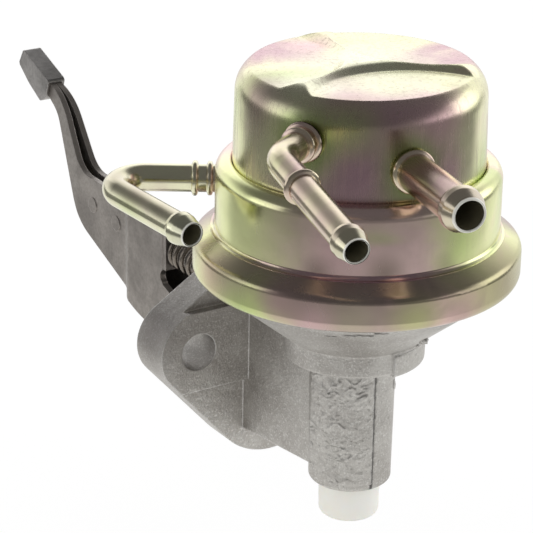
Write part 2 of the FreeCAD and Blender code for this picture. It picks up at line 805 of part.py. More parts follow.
def rod_link():
    near = axis_y + 8.0
    hub = Part.makeCylinder(link_hub_r, 2 * link_half, vec(-link_half, pin_y, pin_z), vec(1, 0, 0))
    bar = side_plate([
        (pin_y, pin_z - 3.2), (pin_y, pin_z + 3.0), (pin_y - 14.0, pin_z + 3.0, 6.0),
        (near - 3.0, pin_z + fork_t / 2), (near - 3.0, pin_z - fork_t / 2),
        (pin_y - 14.0, pin_z - 3.2, 6.0)], -link_half, link_half)
    fork = Part.makeBox(2 * fork_half, 13.0, fork_t, vec(-fork_half, axis_y - 4.6, pin_z - fork_t / 2))
    fork = fork.makeFillet(2.0, [e for e in fork.Edges if abs(e.tangentAt(e.FirstParameter).z) > 0.9])
    slot_half = rod_r + 0.4
    slot = Part.makeBox(2 * slot_half, 10.0, 2 * fork_t, vec(-slot_half, axis_y - 10.0, pin_z - fork_t))
    slot = slot.fuse(Part.makeCylinder(slot_half, 2 * fork_t, vec(0, axis_y, pin_z - fork_t)))
    link = fuse_all([hub, bar, fork]).cut(slot)
    return link.cut(Part.makeCylinder(pin_r + running_gap, 40, vec(-20, pin_y, pin_z), vec(1, 0, 0)))


def pivot_pin():
    pin = Part.makeCylinder(pin_r, 2 * pin_half, vec(-pin_half, pin_y, pin_z), vec(1, 0, 0))
    return pin.makeChamfer(0.4, [e for e in pin.Edges if e.Closed])


def return_spring():
    foot = -pocket_depth - 1.4
    length = tab_y - arm_t - foot
    spring = coil_spring(return_spring_r, return_wire, length, 16)
    spring.rotate(vec(0, 0, 0), vec(1, 0, 0), -90)
    spring.translate(vec(0, foot, return_spring_z))
    return spring


save(lower_body(), "lower_body")
save(stem_plug(), "stem_plug")
save(crimp_ring(), "crimp_ring")
save(upper_shell(), "upper_shell")
save(top_cover(), "top_cover")
save(inlet_pipe(), "inlet_pipe")
save(outlet_pipe(), "outlet_pipe")
save(return_pipe(), "return_pipe")
save(valve_plate(), "valve_plate")
save(inlet_cup(), "inlet_cup")
save(hung_below_hat(valve_post(post_reach)), "inlet_valve_post")
save(hung_below_hat(valve_disc(inlet_disc_r)), "inlet_valve_disc")
save(hung_below_hat(valve_spring()), "inlet_valve_spring")
save(stood_on_flat(valve_post(post_reach)), "outlet_valve_post")
save(stood_on_flat(valve_disc(outlet_disc_r)), "outlet_valve_disc")
save(stood_on_flat(valve_spring()), "outlet_valve_spring")
save(cover_gasket(), "cover_gasket")
save(diaphragm(), "diaphragm")
save(upper_backing(), "upper_backing_plate")
save(lower_backing(), "lower_backing_plate")
save(pull_rod(), "pull_rod")
save(rod_seal(), "rod_seal")
save(seal_retainer(), "seal_retainer")
save(diaphragm_spring(), "diaphragm_spring")
save(rocker_arm(), "rocker_arm")
save(cam_pad(), "cam_pad")
save(rod_link(), "rod_link")
save(pivot_pin(), "pivot_pin")
save(return_spring(), "return_spring")
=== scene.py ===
import json
import math

import bmesh
import bpy
from mathutils import Matrix, Vector, noise
from mathutils.bvhtree import BVHTree


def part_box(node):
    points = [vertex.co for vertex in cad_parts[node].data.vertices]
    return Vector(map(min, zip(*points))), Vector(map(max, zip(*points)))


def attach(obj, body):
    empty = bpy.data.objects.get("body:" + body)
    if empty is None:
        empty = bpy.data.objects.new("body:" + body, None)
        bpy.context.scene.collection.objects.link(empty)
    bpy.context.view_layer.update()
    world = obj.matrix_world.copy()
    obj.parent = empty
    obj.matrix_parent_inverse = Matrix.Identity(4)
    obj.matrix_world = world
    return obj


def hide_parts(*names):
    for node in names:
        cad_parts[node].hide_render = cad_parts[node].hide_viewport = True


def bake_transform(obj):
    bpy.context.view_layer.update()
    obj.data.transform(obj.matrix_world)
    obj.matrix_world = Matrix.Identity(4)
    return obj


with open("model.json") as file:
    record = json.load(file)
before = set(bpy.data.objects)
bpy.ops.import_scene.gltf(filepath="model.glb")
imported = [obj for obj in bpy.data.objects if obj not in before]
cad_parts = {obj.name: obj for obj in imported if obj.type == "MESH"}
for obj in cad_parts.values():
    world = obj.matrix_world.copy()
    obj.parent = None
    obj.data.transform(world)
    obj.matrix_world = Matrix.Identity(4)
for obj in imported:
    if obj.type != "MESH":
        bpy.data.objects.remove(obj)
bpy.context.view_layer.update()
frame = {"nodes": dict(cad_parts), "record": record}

nodes = frame["nodes"]
slots = {row["node"]: row["material_slot"] for row in frame["record"]["subparts"]}

# Pump's axis and ring's foot in the row frame, in mm; every other length is in metres unless it says mm
AXIS_Y = -40.5
RING_FOOT_Z = 25.8
PUMP_AXIS = Vector((0.0, AXIS_Y / 1000.0, 0.0))
RING_FOOT = Vector((0.0, AXIS_Y / 1000.0, RING_FOOT_Z / 1000.0))
FLOOR_Z = -0.055

# Camera, from the photograph's viewing angle
CAMERA_AZIMUTH = math.radians(-33.0)
CAMERA_ELEVATION = math.radians(22.22)
CAMERA_ROLL = math.radians(0.95)
CAMERA_DISTANCE = 0.5177
CAMERA_RIGHT = -0.019075
CAMERA_UP = 0.000831
FOCAL_PIXELS = 2420.0
FRAME_PIXELS = 533.0
SENSOR_MM = 36.0


def camera_axes():
    """The camera's right, up and back, and its place."""
    back = Vector((math.sin(CAMERA_AZIMUTH) * math.cos(CAMERA_ELEVATION),
                   -math.cos(CAMERA_AZIMUTH) * math.cos(CAMERA_ELEVATION),
                   math.sin(CAMERA_ELEVATION)))
    flat_right = Vector((math.cos(CAMERA_AZIMUTH), math.sin(CAMERA_AZIMUTH), 0.0))
    flat_up = back.cross(flat_right)
    right = flat_right * math.cos(CAMERA_ROLL) + flat_up * math.sin(CAMERA_ROLL)
    up = flat_up * math.cos(CAMERA_ROLL) - flat_right * math.sin(CAMERA_ROLL)
    return right, up, back, RING_FOOT + back * CAMERA_DISTANCE + right * CAMERA_RIGHT + up * CAMERA_UP


def make_camera():
    right, up, back, place = camera_axes()
    data = bpy.data.cameras.new("camera")
    data.sensor_width = SENSOR_MM
    data.lens = FOCAL_PIXELS * SENSOR_MM / FRAME_PIXELS
    data.clip_start = 0.01
    data.clip_end = 20.0
    camera = bpy.data.objects.new("camera", data)
    camera.matrix_world = Matrix((
        (right.x, up.x, back.x, place.x),
        (right.y, up.y, back.y, place.y),
        (right.z, up.z, back.z, place.z),
        (0.0, 0.0, 0.0, 1.0)))
    bpy.context.scene.collection.objects.link(camera)
    bpy.context.scene.camera = camera


class Graph:
    """A node tree with short calls for the nodes that the materials share."""

    def __init__(self, tree):
        self.tree = tree

    def node(self, kind, inputs=(), **settings):
        made = self.tree.nodes.new(kind)
        for key, value in settings.items():
            setattr(made, key, value)
        for key, value in dict(inputs).items():
            self.feed(made.inputs[key], value)
        return made

    def feed(self, socket, value):
        """Links a socket to another one, or sets it to a number, a vector or a colour."""
        if isinstance(value, bpy.types.NodeSocket):
            self.tree.links.new(value, socket)
        elif isinstance(value, (tuple, list)) and len(value) == 3 and len(socket.default_value) == 4:
            socket.default_value = (*value, 1.0)
        else:
            socket.default_value = value

    def place(self):
        return self.node("ShaderNodeTexCoord").outputs["Object"]

    def calc(self, kind, a, b=0.0):
        return self.node("ShaderNodeMath", {0: a, 1: b}, operation=kind).outputs[0]

    def plus(self, a, b):
        return self.calc("ADD", a, b)

    def minus(self, a, b):
        return self.calc("SUBTRACT", a, b)

    def times(self, a, b):
        return self.calc("MULTIPLY", a, b)

    def vector(self, kind, a, b):
        return self.node("ShaderNodeVectorMath", {0: a, 1: b}, operation=kind).outputs["Vector"]

    def dot(self, a, b):
        return self.node("ShaderNodeVectorMath", {0: a, 1: b}, operation="DOT_PRODUCT").outputs["Value"]

    def length(self, a):
        return self.node("ShaderNodeVectorMath", {0: a}, operation="LENGTH").outputs["Value"]

    def noise(self, vector, scale, detail=3.0, roughness=0.5, distortion=0.0):
        return self.node("ShaderNodeTexNoise", {
            "Vector": vector, "Scale": scale, "Detail": detail, "Roughness": roughness,
            "Distortion": distortion}).outputs["Fac"]

    def stretched(self, vector, scale):
        return self.node("ShaderNodeMapping", {"Vector": vector, "Scale": scale}).outputs[0]

    def step(self, value, low, high, to_low=0.0, to_high=1.0):
        """Smooth passage from to_low to to_high while value goes from low to high."""
        return self.node("ShaderNodeMapRange", {
            "Value": value, "From Min": low, "From Max": high, "To Min": to_low, "To Max": to_high},
            interpolation_type="SMOOTHSTEP").outputs[0]

    def mix(self, factor, a, b):
        made = self.node("ShaderNodeMix", data_type="RGBA")
        self.feed(made.inputs["Factor"], factor)
        self.feed([s for s in made.inputs if s.name == "A" and s.type == "RGBA"][0], a)
        self.feed([s for s in made.inputs if s.name == "B" and s.type == "RGBA"][0], b)
        return [s for s in made.outputs if s.type == "RGBA"][0]

    def bump(self, height, distance, strength, normal=None):
        inputs = {"Height": height, "Distance": distance, "Strength": strength}
        if normal:
            inputs["Normal"] = normal
        return self.node("ShaderNodeBump", inputs).outputs[0]

    def rounded(self, radius):
        return self.node("ShaderNodeBevel", {"Radius": radius}, samples=4).outputs[0]

    def round_axis(self, place):
        """Heading, radius and height of a point, taken round the pump's axis."""
        axes = self.node("ShaderNodeSeparateXYZ", {0: place}).outputs
        depth = self.plus(axes["Y"], -PUMP_AXIS.y)
        radius = self.calc("SQRT", self.plus(self.times(depth, depth), self.times(axes["X"], axes["X"])))
        return self.calc("ARCTAN2", depth, axes["X"]), radius, axes["Z"]

    def near(self, place, centre, radius, strength):
        """strength at a point of the object, falling to 0 at radius from it."""
        away = self.node("ShaderNodeVectorMath", {0: place, 1: centre}, operation="DISTANCE").outputs["Value"]
        return self.times(self.step(away, 0.0, radius, 1.0, 0.0), strength)

    def bore(self, place, mouth, way, radius, reach):
        """Two masks of a hose pipe: the wall of its last straight bore, and the rim round its mouth."""
        from_mouth = self.vector("SUBTRACT", place, mouth)
        along = self.dot(from_mouth, way)  # negative within the pipe
        off_axis = self.length(self.vector("CROSS_PRODUCT", from_mouth, way))
        inward = self.step(along, -0.0009, -0.0004, 1.0, 0.0)
        behind = self.times(inward, self.step(along, -reach, 0.003 - reach))
        wall = self.times(self.step(off_axis, radius + 0.0001, radius + 0.0003, 1.0, 0.0), behind)
        near_axis = self.step(off_axis, radius + 0.001, radius + 0.002, 1.0, 0.0)
        return wall, self.times(self.step(along, -0.0005, -0.0002), near_axis)

    def edge_wear_and_highlight(self, radius, strength):
        """strength on the edges of a solid: a painted highlight where the edges catch the light, with some wear.
        """
        along = self.dot(self.rounded(radius), self.node("ShaderNodeNewGeometry").outputs["Normal"])
        return self.times(self.step(self.minus(1.0, along), 0.02, 0.16), strength)


def material(name, metallic, roughness, **constants):
    made = bpy.data.materials.new(name)
    made.use_nodes = True
    shader = made.node_tree.nodes["Principled BSDF"]
    shader.inputs["Metallic"].default_value = metallic
    shader.inputs["Roughness"].default_value = roughness
    for key, value in constants.items():
        shader.inputs[key.replace("_", " ")].default_value = value
    return made, Graph(made.node_tree), shader


# Yellow zinc plating: straw, green and mauve films that drift into each other round the pump; the mauve is laid
# heaviest on the pump's front, partly as a painted reflection of the dim room in front

STRAW = (0.86, 0.84, 0.55)
GREEN = (0.52, 0.70, 0.22)
OLIVE = (0.26, 0.34, 0.10)
PINK = (0.84, 0.56, 0.58)
MAUVE = (0.61, 0.40, 0.44)
BROWN = (0.40, 0.31, 0.27)
BORE_WALL = (0.21, 0.19, 0.12)
PIPE_RIM = (0.90, 0.89, 0.82)
# Heading of the pump's front, where the mauve film is partly a painted dark reflection
FRONT_HEADING = math.radians(-123.0)


def chromate(name, base, tints, lobes=0.0, streaks=0.0, roughness=0.22, edge=0.00025, blush=0.0, film=MAUVE,
             bores=(), calm=()):
    """Zinc plating in base and film colours.

    tints: (centre, radius, colour, strength) of spots in another colour
    lobes: strength of the broad lobes of film round the pump, heaviest toward FRONT_HEADING, where the film is
    partly a painted dark reflection; blush: film everywhere
    streaks: strength of the drawing marks along the axis
    bores: (mouth, way, radius, reach) of hose bores, dark within and pale round the mouth
    calm: (centre, radius, strength) of spots where the reflections are kept plain
    """
    made, g, shader = material(name, 1.0, roughness)
    place = g.place()
    broad = g.noise(place, 30.0, 2.0, 0.5, 0.8)
    middle = g.noise(place, 75.0, 3.0, 0.55, 0.8)
    fine = g.noise(place, 1400.0, 3.0, 0.6)
    drawn = g.noise(g.stretched(place, (1.0, 1.0, 0.05)), 1300.0, 3.0, 0.65)

    # Lobes of film round the pump, heaviest at the front: partly the film's colour, partly a painted reflection
    # of the dim room in front
    once = g.minus(g.round_axis(place)[0], FRONT_HEADING)
    thrice = g.plus(g.times(once, 3.0), g.times(g.minus(broad, 0.5), 3.0))
    film_and_reflection_lobe = g.plus(g.calc("COSINE", thrice), g.minus(g.times(g.calc("COSINE", once), 0.7), 0.4))
    mottle = g.plus(g.times(g.minus(middle, 0.5), 1.6), blush)
    wave = g.plus(g.times(film_and_reflection_lobe, lobes), mottle)

    colour = g.mix(g.step(wave, -0.75, 0.35), base, film)
    colour = g.mix(g.step(broad, 0.56, 0.72, 0.0, 0.6), colour, GREEN)
    colour = g.mix(g.step(middle, 0.40, 0.24, 0.0, 0.5), colour, PINK)
    for centre, radius, tint, strength in tints:
        colour = g.mix(g.near(place, centre, radius, strength), colour, tint)
    colour = g.mix(g.step(fine, 0.50, 0.80, 0.0, 0.12), colour, BROWN)
    colour = g.mix(g.times(g.step(drawn, 0.48, 0.74), 0.35 * streaks), colour, BROWN)
    rough = g.step(middle, 0.3, 0.7, roughness - 0.04, roughness + 0.05)
    rough = g.plus(rough, g.times(g.step(drawn, 0.45, 0.7), 0.08 * streaks))
    metallic = 1.0
    for mouth, way, radius, reach in bores:
        wall, rim = g.bore(place, mouth, way, radius, reach)
        colour = g.mix(rim, g.mix(wall, colour, BORE_WALL), PIPE_RIM)
        rough = g.plus(rough, g.times(rim, 0.25))
        metallic = g.minus(metallic, g.times(g.calc("MAXIMUM", wall, rim), 0.55))
    g.feed(shader.inputs["Metallic"], metallic)
    g.feed(shader.inputs["Base Color"], colour)
    g.feed(shader.inputs["Roughness"], rough)

    facing = g.rounded(edge)
    for centre, radius, strength in calm:
        facing = g.mix(g.near(place, centre, radius, strength), facing, (0.0, 0.0, 1.0))
    waves = g.bump(g.noise(place, 70.0, 2.0), 0.0003, 0.30, facing)
    g.feed(shader.inputs["Normal"], g.bump(drawn, 0.00001, 0.15 + 0.4 * streaks, waves))
    return made


# Die-cast aluminium: sparkling grain with dark specks, and the stem's panel of torn skin between two seams;
# painted shade on the flange's left side and along the seams, painted light on the stem and on the edges

CAST_DARK, CAST_LIGHT = (0.395, 0.370, 0.345), (0.56, 0.54, 0.51)
SPARKLE = (0.86, 0.85, 0.83)
SPECK = (0.20, 0.19, 0.18)
TEAR = (0.16, 0.145, 0.12)
# the seams' own dark line, with painted shade of the step at the panel's edges
SEAM_AND_PAINTED_SHADE = (0.045, 0.042, 0.038)
EDGE_WEAR_AND_HIGHLIGHT = (0.92, 0.91, 0.89)

# Painted shade on the left side of the flange, and painted light on the stem: centre, radius, strength, colour
FLANGE_PAINTED_SHADE = ((-0.0320, -0.0050, 0.0060), 0.017, 0.75, (0.22, 0.20, 0.19))
STEM_PAINTED_LIGHT = ((0.0, -0.0405, -0.0020), 0.028, 0.35, (0.78, 0.77, 0.74))

# The stem's panel, in degrees round the pump's axis, the heights and headings that its skin covers,
# and a radius just outside the stem
PANEL_HEADING = -143.0
PANEL_HALF = 49.5
SKIN_LOW, SKIN_HIGH = -0.0215, 0.0068
SKIN_START, SKIN_SWEEP = -194.0, 144.0
STEM_REACH = 0.012


def stem_marks(g, place):
    """Masks of the dark seams beside the stem's torn panel, which carry painted shade of the step at the panel's
    edges, and of the tears within it.
    """
    turn, radius, height = g.round_axis(place)
    below_top = g.step(height, SKIN_HIGH - 0.0008, SKIN_HIGH, 1.0, 0.0)
    on_stem = g.times(g.step(radius, STEM_REACH - 0.0008, STEM_REACH - 0.0002, 1.0, 0.0), below_top)
    off_panel = g.calc("ABSOLUTE", g.minus(turn, math.radians(PANEL_HEADING)))
    off_seam = g.calc("ABSOLUTE", g.minus(off_panel, math.radians(PANEL_HALF)))
    within = g.step(off_panel, math.radians(PANEL_HALF - 3.0), math.radians(PANEL_HALF), 1.0, 0.0)
    torn = g.noise(g.stretched(place, (1.0, 1.0, 2.0)), 330.0, 4.0, 0.65, 1.6)
    ragged = g.plus(off_seam, g.times(g.minus(g.noise(place, 700.0, 3.0, 0.6), 0.5), 0.09))
    seam_and_shade = g.times(on_stem, g.step(ragged, 0.010, 0.070, 0.85, 0.0))
    return seam_and_shade, g.times(g.times(on_stem, within), g.step(torn, 0.57, 0.70, 0.0, 0.55))


def cast():
    made, g, shader = material("cast_aluminium_skin", 0.9, 0.45)
    place = g.place()
    patches = g.noise(place, 60.0, 4.0, 0.6)
    grain = g.noise(place, 2200.0, 3.0, 0.75)
    specks = g.noise(place, 1000.0, 3.0, 0.8)
    colour = g.mix(g.step(patches, 0.32, 0.68), CAST_DARK, CAST_LIGHT)
    colour = g.mix(g.step(grain, 0.50, 0.66, 0.0, 0.55), colour, SPARKLE)
    # painted shade on the flange's left side, painted light on the stem
    for centre, radius, strength, tint in (FLANGE_PAINTED_SHADE, STEM_PAINTED_LIGHT):
        colour = g.mix(g.near(place, centre, radius, strength), colour, tint)
    colour = g.mix(g.step(specks, 0.29, 0.44, 0.50, 0.0), colour, SPECK)
    seam_and_shade, torn = stem_marks(g, place)
    colour = g.mix(torn, colour, TEAR)
    # painted shade along the step at each edge of the panel, over the seams' own dark line
    colour = g.mix(seam_and_shade, colour, SEAM_AND_PAINTED_SHADE)
    # painted highlight along the edges, with some wear
    colour = g.mix(g.edge_wear_and_highlight(0.0005, 0.7), colour, EDGE_WEAR_AND_HIGHLIGHT)
    g.feed(shader.inputs["Base Color"], colour)
    g.feed(shader.inputs["Roughness"], g.step(specks, 0.3, 0.7, 0.36, 0.52))
    skin = g.bump(g.noise(place, 320.0, 4.0, 0.6), 0.0004, 0.5, g.rounded(0.0005))
    g.feed(shader.inputs["Normal"], g.bump(grain, 0.00012, 0.9, skin))
    return made


# Steels, plastic, rubber and fibre

def steel(name, dark, light, roughness, grain_scale, grain_depth, edge=0.0003, metallic=1.0):
    """Bare steel in patches of two colours, with fine grain and a painted highlight along the edges."""
    made, g, shader = material(name, metallic, roughness)
    place = g.place()
    patches = g.noise(place, 70.0, 4.0, 0.6, 0.4)
    grain = g.noise(place, grain_scale, 4.0, 0.65)
    colour = g.mix(g.step(patches, 0.32, 0.70), dark, light)
    colour = g.mix(g.step(grain, 0.35, 0.75, 0.0, 0.25), colour, tuple(0.6 * c for c in dark))
    # painted highlight along the edges
    colour = g.mix(g.edge_wear_and_highlight(edge, 0.5), colour, tuple(min(1.0, 1.9 * c) for c in light))
    g.feed(shader.inputs["Base Color"], colour)
    g.feed(shader.inputs["Roughness"], g.step(grain, 0.3, 0.7, roughness - 0.05, roughness + 0.08))
    g.feed(shader.inputs["Normal"], g.bump(grain, grain_depth, 0.6, g.rounded(edge)))
    return made


def moulded_plastic():
    made, g, shader = material("plug_plastic_skin", 0.0, 0.42, Subsurface_Weight=0.35, Subsurface_Scale=0.002)
    shader.inputs["Subsurface Radius"].default_value = (1.0, 0.8, 0.6)
    place = g.place()
    clouds = g.step(g.noise(place, 120.0, 3.0), 0.35, 0.7)
    g.feed(shader.inputs["Base Color"], g.mix(clouds, (0.97, 0.945, 0.85), (0.99, 0.975, 0.91)))
    g.feed(shader.inputs["Roughness"], g.step(g.noise(place, 900.0), 0.3, 0.7, 0.36, 0.5))
    g.feed(shader.inputs["Normal"], g.bump(g.noise(place, 1500.0, 3.0), 0.00002, 0.5, g.rounded(0.0003)))
    return made


def soft(name, dark, light, scale):
    """Dull rubber or fibre with a fine weave."""
    made, g, shader = material(name, 0.0, 0.7)
    weave = g.noise(g.place(), scale, 3.0, 0.6)
    g.feed(shader.inputs["Base Color"], g.mix(g.step(weave, 0.3, 0.7), dark, light))
    g.feed(shader.inputs["Normal"], g.bump(weave, 0.00004, 0.6))
    return made


def on_ring(radius, heading, height):
    """A point at a radius and heading from the pump's axis, and a height above the ring's foot, all in mm."""
    turn = math.radians(heading)
    return (radius * math.cos(turn) / 1000, (radius * math.sin(turn) + AXIS_Y) / 1000,
            (height + RING_FOOT_Z) / 1000)


def pointing(heading, slope):
    """Unit vector of a pipe's last leg."""
    turn, rise = math.radians(heading), math.radians(slope)
    return (math.cos(turn) * math.cos(rise), math.sin(turn) * math.cos(rise), math.sin(rise))


def mouth_of(node, way):
    """The middle of the mouth at the end of a hose pipe's last leg."""
    corners = [v.co for v in nodes[node].data.vertices]
    end = max(c.dot(Vector(way)) for c in corners)
    rim = [c for c in corners if c.dot(Vector(way)) > end - 0.0001]
    return tuple((min(c[k] for c in rim) + max(c[k] for c in rim)) / 2 for k in range(3))


# Spots of colour painted on the plating, some of them painted reflection where marked: radius, heading and
# height as in on_ring, reach in metres, colour, strength

INLET_ROOT = (28, -101.5, 31.8)
OUTLET_ROOT = (28, -149.5, 37.4)
BACK_RECESS = (17, 95, 46.5)

DOME_SPOTS = [
    (24, -122, 24.0, 0.016, BROWN, 0.7),
    (24.5, -178, 43.0, 0.013, BROWN, 0.95),
    (*INLET_ROOT, 0.013, GREEN, 0.9),
    (*OUTLET_ROOT, 0.014, GREEN, 0.95),
    (27, -125, 31.0, 0.011, (0.56, 0.36, 0.42), 0.9),
    (27, -84, 30.0, 0.009, MAUVE, 0.8),
    (*INLET_ROOT, 0.0095, OLIVE, 1.0),
    (*OUTLET_ROOT, 0.0095, OLIVE, 1.0),
    (26, -85, 42.0, 0.010, PINK, 0.8),
    (26, -128, 41.0, 0.009, GREEN, 0.5),
    (0, 0, 47.0, 0.021, (0.88, 0.88, 0.66), 1.0),
    (*BACK_RECESS, 0.008, PINK, 0.9),
    (18, -160, 46.0, 0.012, (0.86, 0.87, 0.66), 0.9),
    (14, -100, 46.0, 0.014, (0.88, 0.90, 0.62), 0.9),
]
SHELL_SPOTS = [
    # pale green-yellow on the shell's left side: a painted reflection of the bright studio
    (30, -178, 18.0, 0.024, (0.80, 0.86, 0.44), 0.9),
    (30.3, -140, 11.5, 0.005, BROWN, 0.9),
    (30.3, -114, 11.5, 0.006, BROWN, 0.9),
    (30.3, -88, 11.5, 0.005, BROWN, 0.7),
    (30, -132, 17.0, 0.009, PINK, 0.6),
    (30, -80, 16.0, 0.012, GREEN, 0.7),
    (30, -62, 14.0, 0.014, (0.90, 0.91, 0.52), 0.8),
]
RING_SPOTS = [
    (36, -126, 3.0, 0.010, (0.48, 0.42, 0.32), 0.85),
    (36, -139, 3.0, 0.007, PINK, 0.5),
    (36, -168, 2.0, 0.012, GREEN, 0.8),
    (36, -150, 6.0, 0.008, (0.50, 0.36, 0.34), 0.85),
    (37, 175, 6.0, 0.010, (0.62, 0.42, 0.36), 0.7),
    (36, -104, 4.0, 0.009, (0.56, 0.60, 0.26), 0.8),
    (33, -140, 9.5, 0.010, BROWN, 0.6),
    (33, -105, 9.5, 0.010, BROWN, 0.6),
    (36, -86, 3.0, 0.011, (0.58, 0.38, 0.40), 0.8),
    (34, -172, 9.0, 0.014, BROWN, 0.6),
    (37, -62, 5.0, 0.022, (0.42, 0.37, 0.24), 0.95),
]
HOOK_SPOTS = [
    (42, 150, 17.6, 0.010, BROWN, 0.35),
    (52, 160, 17.0, 0.008, GREEN, 0.5),
    # darker brown along the hook's upper leg: partly its colour, partly a painted reflection of the dim ceiling
    (51.3, 147, 24.0, 0.0095, BROWN, 0.8),
    (46.3, 156.5, 24.0, 0.0095, BROWN, 0.8),
    (42.9, 168, 24.0, 0.0095, BROWN, 0.8),
]
PIPE_MOUTH = (0.60, 0.60, 0.46)
HOOK_MOUTH = (0.52, 0.52, 0.42)

# Ways of the hose pipes' last legs, and radius and reach of their bores
INLET_WAY = pointing(-101.5, 0.0)
OUTLET_WAY = pointing(-101.5, -6.5)
RETURN_WAY = pointing(-86.0, -1.5)
WIDE_BORE = (0.0032, 0.024)
THIN_BORE = (0.00235, 0.028)


def spots(rows):
    """The rows of one of these lists as chromate's tints."""
    return [(on_ring(*row[:3]), *row[3:]) for row in rows]


def finishes():
    """Materials by node, and by slot for the nodes that have none of their own."""
    inlet_mouth = mouth_of("inlet_pipe", INLET_WAY)
    outlet_mouth = mouth_of("outlet_pipe", OUTLET_WAY)
    return_mouth = mouth_of("return_pipe", RETURN_WAY)
    dome = chromate("cover_plating", STRAW, spots(DOME_SPOTS), lobes=0.75, streaks=1.0, roughness=0.23,
                    edge=0.0009, calm=[(on_ring(*BACK_RECESS), 0.014, 0.93)])
    shell = chromate("shell_plating", (0.90, 0.89, 0.50), spots(SHELL_SPOTS), lobes=0.7, streaks=0.15,
                     film=(0.80, 0.60, 0.57))
    ring = chromate("ring_plating", (0.74, 0.76, 0.38), spots(RING_SPOTS), lobes=0.6, roughness=0.24,
                    film=(0.45, 0.34, 0.32))
    pipes = chromate("pipe_plating", (0.80, 0.74, 0.50),
                     [(mouth, 0.0095, PIPE_MOUTH, 0.7) for mouth in (inlet_mouth, outlet_mouth)],
                     roughness=0.20, edge=0.0002, blush=-0.3,
                     bores=[(inlet_mouth, INLET_WAY, *WIDE_BORE), (outlet_mouth, OUTLET_WAY, *THIN_BORE)])
    hook = chromate("hook_plating", (0.82, 0.81, 0.58),
                    spots(HOOK_SPOTS) + [(return_mouth, 0.0085, HOOK_MOUTH, 0.8)],
                    roughness=0.20, edge=0.0002, blush=-0.55,
                    bores=[(return_mouth, RETURN_WAY, *THIN_BORE)])
    arm = steel("arm_steel_skin", (0.205, 0.185, 0.168), (0.335, 0.305, 0.28), roughness=0.36,
                grain_scale=1200.0, grain_depth=0.00003, metallic=0.8)
    by_node = {
        "top_cover": dome, "upper_shell": shell, "crimp_ring": ring,
        "inlet_pipe": pipes, "outlet_pipe": pipes, "return_pipe": hook,
        "lower_body": cast(), "rocker_arm": arm, "rod_link": arm,
        "cam_pad": steel("pad_steel_skin", (0.26, 0.25, 0.24), (0.46, 0.44, 0.43), roughness=0.38,
                         grain_scale=900.0, grain_depth=0.00008),
        "stem_plug": moulded_plastic(),
    }
    by_slot = {
        "spring_steel": steel("spring_wire", (0.16, 0.14, 0.12), (0.30, 0.26, 0.22), roughness=0.26,
                              grain_scale=1500.0, grain_depth=0.00001, edge=0.0001),
        "ground_steel": steel("ground_steel_skin", (0.50, 0.50, 0.49), (0.62, 0.62, 0.61), roughness=0.2,
                              grain_scale=2200.0, grain_depth=0.000008),
        "plated_inner_steel": steel("zinc_inner", (0.52, 0.53, 0.53), (0.66, 0.67, 0.67), roughness=0.28,
                                    grain_scale=1100.0, grain_depth=0.00001),
        "black_rubber": soft("black_rubber_skin", (0.02, 0.02, 0.02), (0.045, 0.045, 0.045), 900.0),
        "gasket_fibre": soft("gasket_fibre_skin", (0.16, 0.14, 0.11), (0.26, 0.23, 0.19), 700.0),
    }
    return by_node, by_slot


def dress(by_node, by_slot):
    """Gives every node of the frame its finish."""
    for name, obj in nodes.items():
        obj.data.materials.clear()
        obj.data.materials.append(by_node.get(name) or by_slot[slots[name]])


# Own pieces

def mesh_piece(name, points, faces, finish, body):
    """A smooth piece that rides a body, or none yet where body is None."""
    mesh = bpy.data.meshes.new(name)
    mesh.from_pydata([tuple(p) for p in points], [], faces)
    mesh.validate()
    mesh.polygons.foreach_set("use_smooth", [True] * len(mesh.polygons))
    mesh.materials.append(finish)
    piece = bpy.data.objects.new(name, mesh)
    bpy.context.scene.collection.objects.link(piece)
    if body:
        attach(piece, body)
    return piece


def grid_faces(columns, rows):
    """Faces of a grid whose points are listed column by column."""
    return [(i * rows + j, (i + 1) * rows + j, (i + 1) * rows + j + 1, i * rows + j + 1)
            for i in range(columns - 1) for j in range(rows - 1)]


def smooth(value, low, high):
    """Smooth passage from 0 to 1 while value goes from low to high."""
    t = min(1.0, max(0.0, (value - low) / (high - low)))
    return t * t * (3.0 - 2.0 * t)


def node_tree(name):
    """A node's mesh, ready for rays to be cast at it."""
    mesh = nodes[name].data
    return BVHTree.FromPolygons([v.co.copy() for v in mesh.vertices], [tuple(p.vertices) for p in mesh.polygons])


